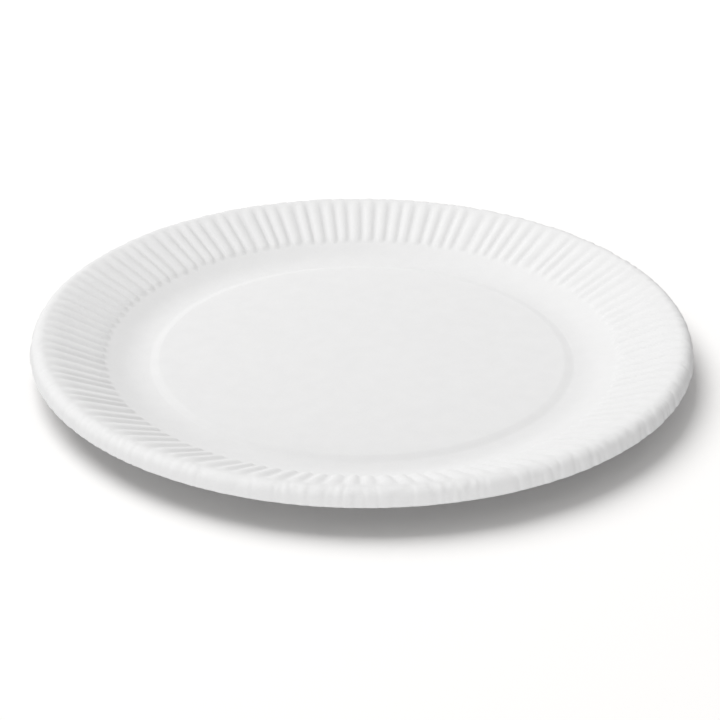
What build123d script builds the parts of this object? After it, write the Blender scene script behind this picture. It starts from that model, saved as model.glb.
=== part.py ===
from build123d import *
import math
import os

# A round disposable plate, pressed from one disc of paperboard. Millimetres, +Z up.
# The origin is the centre of the base, at the level of the surface that the plate rests on.

# The board
board = 0.45  # thickness of the paperboard

# The flat middle of the plate
panel_radius = 71.3  # flat centre panel, to the top of the step around it
panel_rise = 0.8  # height of the panel above the ring that the plate rests on
step_width = 3.2  # the step down from the panel to that ring
step_round = 4.0  # radius of the bends at the top and the foot of the step

# The sloping wall, measured on the side that food touches
wall_slope = 24.8  # degrees above level
wall_foot_radius = 80.7  # where the wall's line meets the top of the ring
wall_foot_round = 20.0  # radius of the broad bend between ring and wall

# The rolled rim
plate_radius = 115.0  # to the cut edge
edge_height = 9.2  # the cut edge above the table, on the outside
skirt_lean = 15.0  # degrees by which the skirt leans out from upright
rim_round = 3.5  # radius of the bend over the crest of the rim

# The flutes: hollow ribs pressed up out of the wall, all round the plate
flutes = 120
flute_start_radius = 88.5  # where a flute's form starts; it comes out of the wall a little later
flute_end_radius = 111.0  # where its form ends, after it has sunk back into the wall
inner_flute_radius = 3.2  # radius of the rib's round section at the inner end
outer_flute_radius = 4.3  # the same at the outer end
inner_flute_height = 0.6  # how far the rib stands above the wall at the inner end
outer_flute_height = 0.65  # the same at the outer end
tip_roundness = 0.9  # rounding of a tip, as a part of the rib's radius there


# The outline of the upper side, from the middle of the plate to the cut edge.
ring_top = board
panel_top = ring_top + panel_rise
slope_ratio = math.tan(math.radians(wall_slope))
skirt_ratio = math.tan(math.radians(skirt_lean))


def wall_height(radius):
    """Height of the upper side of the wall at a plan radius."""
    return ring_top + slope_ratio * (radius - wall_foot_radius)


# The wall's line and the skirt's line cross above the crest of the rim.
corner_above_edge = (wall_height(plate_radius) - edge_height) / (1 + slope_ratio * skirt_ratio)
rim_corner = (
    plate_radius - skirt_ratio * corner_above_edge,
    edge_height + corner_above_edge,
)


def wall_point(radius, height):
    """A point above the wall's upper side, over the X axis, measured square to the wall."""
    lean = math.radians(wall_slope)
    return Vector(radius - height * math.sin(lean), 0, wall_height(radius) + height * math.cos(lean))


# A rib's round section is centred below the wall, on a line from tip to tip.
axis_start = wall_point(flute_start_radius, inner_flute_height - inner_flute_radius)
axis_end = wall_point(flute_end_radius, outer_flute_height - outer_flute_radius)
flute_length = (axis_end - axis_start).length
flute_plane = Plane(origin=axis_start, x_dir=axis_end - axis_start, z_dir=(0, -1, 0))


def round_ended_rod(inset):
    """The tapered form of one flute, taken in by inset on every side."""
    inner = inner_flute_radius - inset
    outer = outer_flute_radius - inset
    with BuildPart() as rod:
        with BuildSketch(flute_plane) as half:
            with BuildLine():
                FilletPolyline(
                    (inset, 0),
                    (inset, inner),
                    (flute_length - inset, outer),
                    (flute_length - inset, 0),
                    radius=(tip_roundness * inner, tip_roundness * outer),
                )
                Line((inset, 0), (flute_length - inset, 0))
            make_face()
        revolve(axis=Axis(flute_plane.origin, flute_plane.x_dir))
    return rod.part


# The rib's outer form ends inside the board, and its hollow a little below the board, so that
# only the board shows on the underside.
def cut_off(form, depth):
    """The part of a flute's form that lies above a plane at this depth under the wall's surface."""
    lean = math.radians(wall_slope)
    floor = Plane(
        origin=wall_point(wall_foot_radius, -depth),
        x_dir=(0, 1, 0),
        z_dir=(-math.sin(lean), 0, math.cos(lean)),
    )
    with BuildPart() as upper:
        add(form)
        split(bisect_by=floor, keep=Keep.TOP)
    return upper.part


rib = cut_off(round_ended_rod(0), board / 2)
hollow = cut_off(round_ended_rod(board), 1.5 * board)

with BuildPart() as plate:
    with BuildSketch(Plane.XZ) as section:
        with BuildLine() as outline:
            FilletPolyline(
                (0, panel_top),
                (panel_radius, panel_top),
                (panel_radius + step_width, ring_top),
                (wall_foot_radius, ring_top),
                rim_corner,
                (plate_radius, edge_height),
                radius=(step_round, step_round, wall_foot_round, rim_round),
            )
            offset(amount=board, side=Side.RIGHT)
        make_face()
    revolve(axis=Axis.Z)
    with PolarLocations(0, flutes):
        add(rib)
        add(hollow, mode=Mode.SUBTRACT)

plate.part.label = "plate"
os.makedirs("parts", exist_ok=True)
export_step(plate.part, "parts/plate.step")
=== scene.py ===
import math

import bmesh
import bpy
from mathutils import Matrix, Vector


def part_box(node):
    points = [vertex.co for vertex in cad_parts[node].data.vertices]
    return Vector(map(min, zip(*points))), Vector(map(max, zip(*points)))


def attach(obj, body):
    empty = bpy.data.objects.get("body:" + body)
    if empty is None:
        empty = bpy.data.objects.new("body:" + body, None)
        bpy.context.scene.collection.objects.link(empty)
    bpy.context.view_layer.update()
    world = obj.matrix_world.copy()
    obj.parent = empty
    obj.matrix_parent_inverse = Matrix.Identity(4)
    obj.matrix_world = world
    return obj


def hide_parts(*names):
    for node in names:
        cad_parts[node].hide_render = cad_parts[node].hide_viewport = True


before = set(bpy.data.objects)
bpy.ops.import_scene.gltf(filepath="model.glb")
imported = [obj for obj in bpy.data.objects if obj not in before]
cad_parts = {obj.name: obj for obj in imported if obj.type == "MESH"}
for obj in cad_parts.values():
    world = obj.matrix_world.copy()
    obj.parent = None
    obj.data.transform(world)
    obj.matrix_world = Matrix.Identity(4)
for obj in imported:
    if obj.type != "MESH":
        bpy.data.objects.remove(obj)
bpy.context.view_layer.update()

MM = 0.001

# ---------------------------------------------------------------- sizes of the pressed plate
# The highest corner of the plate's own box gives the radius of its cut edge. The rest are the
# press tool's sizes, in millimetres.
RIM_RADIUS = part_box("plate")[1][0] / MM
BOARD = 0.45  # thickness of the paperboard
PANEL_RADIUS = 71.3  # flat centre, to the top of the step
PANEL_RISE = 0.8  # the centre stands this much above the ring that rests on the table
STEP_WIDTH = 3.2
STEP_ROUND = 4.0
WALL_SLOPE = math.radians(24.8)
WALL_FOOT = 80.7  # radius where the wall's line meets the ring
WALL_FOOT_ROUND = 20.0
EDGE_HEIGHT = 9.2  # height of the cut edge above the table
SKIRT_LEAN = math.radians(15)
RIM_ROUND = 3.5

FLUTES = 120
FLUTE_INNER_END = 89.4  # radius of a rib's blunt inner tip
FLUTE_OUTER_END = 109.9  # radius where a rib has sunk into the rim
FLUTE_FADE = 3.6  # length over which it sinks
FLUTE_HEIGHT = 0.66
FLUTE_SHARE = 0.8  # a rib's width as a part of the pitch
FLUTE_TIP_SCATTER = 1.6  # swing of the inner tips, in and out

CREASE_START = 108.5  # the creases grow in between these two radii
CREASE_FULL = 112.0
WAVE_START = 82.0  # and so does the rim's slow wave
WAVE_FULL = 115.0

# ---------------------------------------------------------------- how finely the sheet is divided
SEGMENTS_PER_FLUTE = 10
STEP_ARC_PARTS = 2
FOOT_ARC_PARTS = 5
RIM_ARC_PARTS = 10
SHORT_RUN_PARTS = 2
TIP_PARTS = 4  # closer rings, for the ribs' blunt inner tips
RIB_PARTS = 7
TIP_START = 0.12  # where the closer rings begin and end, as parts of the wall's straight run
TIP_END = 0.26
CRISP_ANGLE = math.radians(50)  # a sharper edge stays crisp, as the board's cut edge does

# ---------------------------------------------------------------- unevenness round the plate
# Each noise is read on a circle of radius 1, so its scale is the number of noise cells in a radian.
SPACING_NOISE = 9.0
TIP_NOISE = 24.0
HEIGHT_NOISE = 14.0
CREASE_NOISE = 22.0
WAVE_NOISE = 1.3
TIP_SEED = 3.0  # added to the seed, so that no two patterns are the same
HEIGHT_SEED = 5.0
CREASE_DETAIL = 1.0
CREASE_STRAYING = 4.0  # how fast a crease leaves its radial line, for each metre outwards
CREASE_VALLEY = 0.1  # a crease lies where its noise is this near the middle value

# ---------------------------------------------------------------- the stage
SURROUND = 0.39  # strength of the even light from all round
SURROUND_COLOUR = [1.0, 0.995, 0.992, 1.0]
WHITE = [1.0, 1.0, 1.0, 1.0]
FLOOR_HALF = 4.0  # metres
FLOOR_COLOUR = "#E6E6E6"  # what the floor gives back to the plate
FLOOR_SEEN = [1.2, 1.19, 1.18, 1.0]  # for the camera alone: past white, so that the lit floor shows as white

# Lamps: size and distance in metres, power in watts, azimuth in degrees from +X towards +Y.
KEY_SIZE = 2.6  # a wide soft lamp, high at the back left
KEY_POWER = 62.0
KEY_AZIMUTH = 136
KEY_ELEVATION = 56
KEY_DISTANCE = 3.0
FILL_SIZE = 1.2  # a card of light low in front, which lights only the plate
FILL_POWER = 17.0
FILL_AZIMUTH = -98
FILL_ELEVATION = 8
FILL_DISTANCE = 2.0

CAMERA_DISTANCE = 0.6  # metres
CAMERA_ELEVATION = 27.4  # degrees
CAMERA_ROLL = 0.4
CAMERA_LENS = 84.77  # millimetres, as the sensor is
CAMERA_SENSOR = 36
CAMERA_SHIFT_X = -0.0026
CAMERA_SHIFT_Y = -0.0074
CAMERA_NEAR = 0.01  # metres


# ---------------------------------------------------------------- small helpers
# Sockets of a Mix node that mixes colours: the two colours, and the result.
FIRST_COLOUR = 6
SECOND_COLOUR = 7
MIXED_COLOUR = 2


def linear(hex_colour):
    """A colour written as sRGB hex, turned to linear red, green, blue and alpha."""
    values = [int(hex_colour[i : i + 2], 16) / 255 for i in (1, 3, 5)]
    return [v / 12.92 if v <= 0.04045 else ((v + 0.055) / 1.055) ** 2.4 for v in values] + [1.0]


def node(tree, kind, inputs=None, **settings):
    """Adds a node; inputs maps an input's name or number to a value or to another node's output."""
    made = tree.nodes.new(kind)
    for name, value in settings.items():
        setattr(made, name, value)
    for name, value in (inputs or {}).items():
        if isinstance(value, bpy.types.NodeSocket):
            tree.links.new(value, made.inputs[name])
        else:
            made.inputs[name].default_value = value
    return made


# ---------------------------------------------------------------- the plate's section
def bend(before, corner, after, radius, steps):
    """Points along an arc that rounds the corner between two straight runs."""
    way_in = (corner - before).normalized()
    way_out = (after - corner).normalized()
    turn = way_in.angle_signed(way_out)  # positive for a turn to the right
    reach = radius * math.tan(abs(turn) / 2)
    start = corner - way_in * reach
    side = Vector((-way_in.y, way_in.x)) * (-1 if turn > 0 else 1)
    centre = start + side * radius
    spoke = start - centre
    points = []
    for k in range(steps + 1):
        swing = Matrix.Rotation(-turn * k / steps, 2)
        points.append(centre + swing @ spoke)
    return points


def between(start, end, parts):
    """Evenly spaced points that divide the run from start to end, both left out."""
    return [start.lerp(end, k / parts) for k in range(1, parts)]


def section():
    """The upper side's outline as (radius, height) points, from the flat centre to the cut edge."""
    ring_top = BOARD
    slope = math.tan(WALL_SLOPE)
    lean = math.tan(SKIRT_LEAN)
    wall_top = ring_top + slope * (RIM_RADIUS - WALL_FOOT)
    rise = (wall_top - EDGE_HEIGHT) / (1 + slope * lean)
    centre = Vector((0, ring_top + PANEL_RISE))
    step_top = Vector((PANEL_RADIUS, ring_top + PANEL_RISE))
    step_foot = Vector((PANEL_RADIUS + STEP_WIDTH, ring_top))
    foot = Vector((WALL_FOOT, ring_top))
    crest = Vector((RIM_RADIUS - lean * rise, EDGE_HEIGHT + rise))
    edge = Vector((RIM_RADIUS, EDGE_HEIGHT))

    step_down = bend(centre, step_top, step_foot, STEP_ROUND, STEP_ARC_PARTS)
    step_out = bend(step_top, step_foot, foot, STEP_ROUND, STEP_ARC_PARTS)
    wall_foot = bend(step_foot, foot, crest, WALL_FOOT_ROUND, FOOT_ARC_PARTS)
    rim = bend(foot, crest, edge, RIM_ROUND, RIM_ARC_PARTS)
    tip_start = wall_foot[-1].lerp(rim[0], TIP_START)
    tip_end = wall_foot[-1].lerp(rim[0], TIP_END)

    points = step_down + between(step_down[-1], step_out[0], SHORT_RUN_PARTS) + step_out + wall_foot
    points += between(wall_foot[-1], tip_start, SHORT_RUN_PARTS) + [tip_start]
    points += between(tip_start, tip_end, TIP_PARTS) + [tip_end]
    points += between(tip_end, rim[0], RIB_PARTS) + rim
    points += between(rim[-1], edge, SHORT_RUN_PARTS) + [edge]
    return points


def pressed_sheet():
    """The upper side as one open sheet, turned round the plate's axis."""
    around = FLUTES * SEGMENTS_PER_FLUTE
    outline = section()
    mesh = bpy.data.meshes.new("pressed_sheet")
    shape = bmesh.new()
    middle = shape.verts.new((0, 0, outline[0].y * MM))
    rings = []
    for point in outline:
        reach = point.x * MM
        height = point.y * MM
        ring = []
        for k in range(around):
            angle = 2 * math.pi * k / around
            ring.append(shape.verts.new((reach * math.cos(angle), reach * math.sin(angle), height)))
        rings.append(ring)
    for k in range(around):
        after = (k + 1) % around
        shape.faces.new((middle, rings[0][k], rings[0][after]))
        for inner, outer in zip(rings, rings[1:]):
            shape.faces.new((inner[k], outer[k], outer[after], inner[after]))
    shape.to_mesh(mesh)
    shape.free()
    return bpy.data.objects.new("plate_sheet", mesh)


# ---------------------------------------------------------------- flutes and creases
def flute_tree():
    """Presses the flutes into the wall, fine creases into the rim and a slow wave into its height."""
    tree = bpy.data.node_groups.new("pressed_flutes", "GeometryNodeTree")
    sockets = tree.interface
    sockets.new_socket("Geometry", in_out="INPUT", socket_type="NodeSocketGeometry")
    defaults = {
        "Flutes": FLUTES,
        "Inner end": FLUTE_INNER_END * MM,
        "Outer end": FLUTE_OUTER_END * MM,
        "Outer fade": FLUTE_FADE * MM,
        "Height": FLUTE_HEIGHT * MM,
        "Width share": FLUTE_SHARE,
        "Uneven spacing": 0.55,
        "Uneven height": 0.5,
        "Crease depth": 0.3 * MM,
        "Rim wave": 0.5 * MM,
        "Seed": 7.0,
    }
    for name, value in defaults.items():
        sockets.new_socket(name, in_out="INPUT", socket_type="NodeSocketFloat").default_value = value
    sockets.new_socket("Material", in_out="INPUT", socket_type="NodeSocketMaterial")
    sockets.new_socket("Geometry", in_out="OUTPUT", socket_type="NodeSocketGeometry")
    given = tree.nodes.new("NodeGroupInput").outputs

    def maths(operation, *values):
        made = node(tree, "ShaderNodeMath", dict(enumerate(values)), operation=operation)
        return made.outputs[0]

    def noise(x, y, z, scale, detail=0.0):
        """Noise from 0 to 1 that closes on itself round the plate."""
        place = node(tree, "ShaderNodeCombineXYZ", {0: x, 1: y, 2: z}).outputs[0]
        wanted = {"Vector": place, "Scale": scale, "Detail": detail}
        return node(tree, "ShaderNodeTexNoise", wanted).outputs[0]

    place = node(tree, "GeometryNodeInputPosition").outputs[0]
    x, y, _ = node(tree, "ShaderNodeSeparateXYZ", {0: place}).outputs
    radius = maths("SQRT", maths("ADD", maths("MULTIPLY", x, x), maths("MULTIPLY", y, y)))
    angle = maths("ARCTAN2", y, x)
    east = maths("COSINE", angle)
    north = maths("SINE", angle)

    # Where in its pitch a point lies, from -0.5 to 0.5, with the pitch a little uneven.
    drift = maths("SUBTRACT", noise(east, north, given["Seed"], SPACING_NOISE), 0.5)
    turns = maths("MULTIPLY", maths("DIVIDE", angle, 2 * math.pi), given["Flutes"])
    turns = maths("ADD", turns, maths("MULTIPLY", drift, given["Uneven spacing"]))
    phase = maths("SUBTRACT", maths("FRACT", turns), 0.5)
    pitch = maths("DIVIDE", maths("MULTIPLY", radius, 2 * math.pi), given["Flutes"])
    sideways = maths("MULTIPLY", maths("ABSOLUTE", phase), pitch)
    half_width = maths("MULTIPLY", maths("MULTIPLY", pitch, given["Width share"]), 0.5)

    # How far a point lies past the rib's straight middle, at its blunt inner end and its long outer end.
    tip_seed = maths("ADD", given["Seed"], TIP_SEED)
    scatter = maths("SUBTRACT", noise(east, north, tip_seed, TIP_NOISE), 0.5)
    inner_end = maths("ADD", given["Inner end"], maths("MULTIPLY", scatter, FLUTE_TIP_SCATTER * MM))
    past_inner = maths("MAXIMUM", maths("SUBTRACT", maths("ADD", inner_end, half_width), radius), 0.0)
    outer_start = maths("SUBTRACT", given["Outer end"], given["Outer fade"])
    past_outer = maths("MAXIMUM", maths("SUBTRACT", radius, outer_start), 0.0)
    past_outer = maths("MULTIPLY", past_outer, maths("DIVIDE", half_width, given["Outer fade"]))
    lengthways = maths("ADD", past_inner, past_outer)

    # The rib's height falls off with the square of the distance from its middle.
    away = maths("ADD", maths("MULTIPLY", sideways, sideways), maths("MULTIPLY", lengthways, lengthways))
    away = maths("DIVIDE", away, maths("MULTIPLY", half_width, half_width))
    rib = maths("MAXIMUM", maths("SUBTRACT", 1.0, away), 0.0)
    height_seed = maths("ADD", given["Seed"], HEIGHT_SEED)
    vigour = maths("SUBTRACT", noise(east, north, height_seed, HEIGHT_NOISE), 0.5)
    vigour = maths("ADD", 1.0, maths("MULTIPLY", vigour, given["Uneven height"]))
    rib = maths("MULTIPLY", maths("MULTIPLY", rib, given["Height"]), vigour)

    # The board gathers in fine radial creases where it turns over the rim.
    on_rim = node(
        tree,
        "ShaderNodeMapRange",
        {"Value": radius, "From Min": CREASE_START * MM, "From Max": CREASE_FULL * MM},
        interpolation_type="SMOOTHSTEP",
    ).outputs[0]
    crease = noise(east, north, maths("MULTIPLY", radius, CREASE_STRAYING), CREASE_NOISE, CREASE_DETAIL)
    crease = maths("DIVIDE", maths("ABSOLUTE", maths("SUBTRACT", crease, 0.5)), -CREASE_VALLEY)
    crease = maths("MULTIPLY", maths("MAXIMUM", maths("ADD", crease, 1.0), 0.0), -1.0)
    crease = maths("MULTIPLY", maths("MULTIPLY", crease, on_rim), given["Crease depth"])
    lift = maths("ADD", rib, crease)
    normal = node(tree, "GeometryNodeInputNormal").outputs[0]
    offset = node(tree, "ShaderNodeVectorMath", {0: normal, "Scale": lift}, operation="SCALE").outputs[0]

    # A slow wave in the rim's height, none of it where the plate rests.
    outward = node(
        tree,
        "ShaderNodeMapRange",
        {"Value": radius, "From Min": WAVE_START * MM, "From Max": WAVE_FULL * MM},
    ).outputs[0]
    wave = maths("SUBTRACT", noise(east, north, given["Seed"], WAVE_NOISE), 0.5)
    wave = maths("MULTIPLY", maths("MULTIPLY", wave, given["Rim wave"]), outward)
    upward = node(tree, "ShaderNodeCombineXYZ", {2: wave}).outputs[0]
    offset = node(tree, "ShaderNodeVectorMath", {0: offset, 1: upward}, operation="ADD").outputs[0]

    moved = node(tree, "GeometryNodeSetPosition", {"Geometry": given["Geometry"], "Offset": offset})
    real = node(tree, "GeometryNodeRealizeInstances", {0: moved.outputs[0]})
    made = node(tree, "GeometryNodeSetMaterial", {"Geometry": real.outputs[0], "Material": given["Material"]})
    node(tree, "NodeGroupOutput", {0: made.outputs[0]})
    return tree


def pressed_plate(material):
    """The finished plate: the sheet with its flutes, at the board's thickness, as one plain mesh."""
    sheet = pressed_sheet()
    bpy.context.collection.objects.link(sheet)
    flutes = sheet.modifiers.new("flutes", "NODES")
    flutes.node_group = flute_tree()
    for item in flutes.node_group.interface.items_tree:
        if item.name == "Material":
            flutes[item.identifier] = material
    board = sheet.modifiers.new("board", "SOLIDIFY")
    board.thickness = BOARD * MM
    board.offset = -1
    bpy.context.view_layer.update()
    evaluated = sheet.evaluated_get(bpy.context.evaluated_depsgraph_get())
    mesh = bpy.data.meshes.new_from_object(evaluated)
    mesh.name = "pressed_plate"
    mesh.shade_smooth()
    mesh.set_sharp_from_angle(angle=CRISP_ANGLE)
    bpy.data.objects.remove(sheet)
    plate = bpy.data.objects.new("pressed_plate", mesh)
    bpy.context.collection.objects.link(plate)
    return plate


# ---------------------------------------------------------------- the board's finish
def uncoated_paperboard():
    """Bleached uncoated paperboard: matt white, faintly cloudy, with a felt of short fibres."""
    made = bpy.data.materials.new("uncoated_white_paperboard")
    made.use_nodes = True
    tree = made.node_tree
    tree.nodes.clear()
    where = node(tree, "ShaderNodeTexCoord").outputs["Object"]

    # Cloudiness of the pulp, about 6 mm from patch to patch, and the felt of its fibres. A fibre is
    # a few hundredths of a millimetre thick, so the felt's grain is drawn coarser, at 0.6 mm, to show.
    cloud_size = 6 * MM
    grain_size = 0.6 * MM
    cloudy = {"Vector": where, "Scale": 1 / cloud_size, "Detail": 3.0}
    grainy = {"Vector": where, "Scale": 1 / grain_size, "Detail": 4.0}
    clouds = node(tree, "ShaderNodeTexNoise", cloudy).outputs[0]
    grain = node(tree, "ShaderNodeTexNoise", grainy).outputs[0]
    both = node(tree, "ShaderNodeMath", {0: clouds, 1: grain}, operation="ADD").outputs[0]
    shade = node(tree, "ShaderNodeMapRange", {"Value": both, "From Min": 0.7, "From Max": 1.3}).outputs[0]
    colour = node(
        tree,
        "ShaderNodeMix",
        {"Factor": shade, FIRST_COLOUR: linear("#F0F0F0"), SECOND_COLOUR: linear("#F3F3F3")},
        data_type="RGBA",
    ).outputs[MIXED_COLOUR]

    bumps = node(tree, "ShaderNodeBump", {"Strength": 0.35, "Distance": 0.05 * MM, "Height": both}).outputs[0]
    finish = node(
        tree,
        "ShaderNodeBsdfPrincipled",
        {"Base Color": colour, "Roughness": 0.9, "IOR": 1.45, "Specular IOR Level": 0.2, "Normal": bumps},
    )
    node(tree, "ShaderNodeOutputMaterial", {0: finish.outputs[0]})
    return made


# ---------------------------------------------------------------- floor, light and camera
def studio_floor():
    """A flat matt floor that the camera sees as white, apart from the plate's shadow."""
    made = bpy.data.materials.new("white_studio_floor")
    made.use_nodes = True
    tree = made.node_tree
    tree.nodes.clear()
    seen = node(tree, "ShaderNodeLightPath").outputs["Is Camera Ray"]
    colour = node(
        tree,
        "ShaderNodeMix",
        {"Factor": seen, FIRST_COLOUR: linear(FLOOR_COLOUR), SECOND_COLOUR: FLOOR_SEEN},
        data_type="RGBA",
    ).outputs[MIXED_COLOUR]
    matt = node(tree, "ShaderNodeBsdfDiffuse", {"Color": colour})
    node(tree, "ShaderNodeOutputMaterial", {0: matt.outputs[0]})
    mesh = bpy.data.meshes.new("studio_floor")
    half = FLOOR_HALF
    corners = [(-half, -half, 0), (half, -half, 0), (half, half, 0), (-half, half, 0)]
    mesh.from_pydata(corners, [], [(0, 1, 2, 3)])
    mesh.materials.append(made)
    floor = bpy.data.objects.new("studio_floor", mesh)
    bpy.context.collection.objects.link(floor)


def studio_light(lit_piece):
    """An even surround that shows as white, a soft lamp from behind and a card of light in front."""
    world = bpy.data.worlds.new("studio")
    bpy.context.scene.world = world
    world.use_nodes = True
    tree = world.node_tree
    tree.nodes.clear()
    path = node(tree, "ShaderNodeLightPath").outputs
    shown = path["Is Camera Ray"]
    for ray in ("Is Glossy Ray", "Is Transmission Ray"):
        shown = node(tree, "ShaderNodeMath", {0: shown, 1: path[ray]}, operation="MAXIMUM").outputs[0]
    around = node(tree, "ShaderNodeBackground", {"Color": SURROUND_COLOUR, "Strength": SURROUND})
    white = node(tree, "ShaderNodeBackground", {"Color": WHITE, "Strength": 1.0})
    mixed = node(tree, "ShaderNodeMixShader", {0: shown, 1: around.outputs[0], 2: white.outputs[0]})
    node(tree, "ShaderNodeOutputWorld", {0: mixed.outputs[0]})

    soft_lamp("soft_key", KEY_SIZE, KEY_POWER, KEY_AZIMUTH, KEY_ELEVATION, KEY_DISTANCE)
    fill = soft_lamp("front_fill", FILL_SIZE, FILL_POWER, FILL_AZIMUTH, FILL_ELEVATION, FILL_DISTANCE)
    lit = bpy.data.collections.new("lit_by_front_fill")
    lit.objects.link(lit_piece)
    fill.light_linking.receiver_collection = lit


def soft_lamp(name, size, power, azimuth, elevation, distance):
    """A round soft lamp aimed at the plate."""
    lamp = bpy.data.lights.new(name, "AREA")
    lamp.shape = "DISK"
    lamp.size = size
    lamp.energy = power
    made = bpy.data.objects.new(name, lamp)
    high = math.radians(elevation)
    turn = math.radians(azimuth)
    way = Vector((math.cos(high) * math.cos(turn), math.cos(high) * math.sin(turn), math.sin(high)))
    made.location = way * distance
    made.rotation_euler = way.to_track_quat("Z", "Y").to_euler()
    bpy.context.collection.objects.link(made)
    return made


def studio_camera():
    """A long lens a little above the plate, aimed at the middle of its base."""
    camera = bpy.data.cameras.new("studio_camera")
    camera.sensor_width = CAMERA_SENSOR
    camera.lens = CAMERA_LENS
    camera.shift_x = CAMERA_SHIFT_X
    camera.shift_y = CAMERA_SHIFT_Y
    camera.clip_start = CAMERA_NEAR
    held = bpy.data.objects.new("studio_camera", camera)
    lift = math.radians(CAMERA_ELEVATION)
    stand = (0, -math.cos(lift) * CAMERA_DISTANCE, math.sin(lift) * CAMERA_DISTANCE)
    tilt = Matrix.Rotation(math.pi / 2 - lift, 4, "X") @ Matrix.Rotation(math.radians(CAMERA_ROLL), 4, "Z")
    held.matrix_world = Matrix.Translation(stand) @ tilt
    bpy.context.collection.objects.link(held)
    bpy.context.scene.camera = held


# ---------------------------------------------------------------- the scene
plate = pressed_plate(uncoated_paperboard())
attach(plate, "root")
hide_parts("plate")

studio_floor()
studio_light(plate)
studio_camera()
bpy.context.scene.view_settings.view_transform = "Standard"
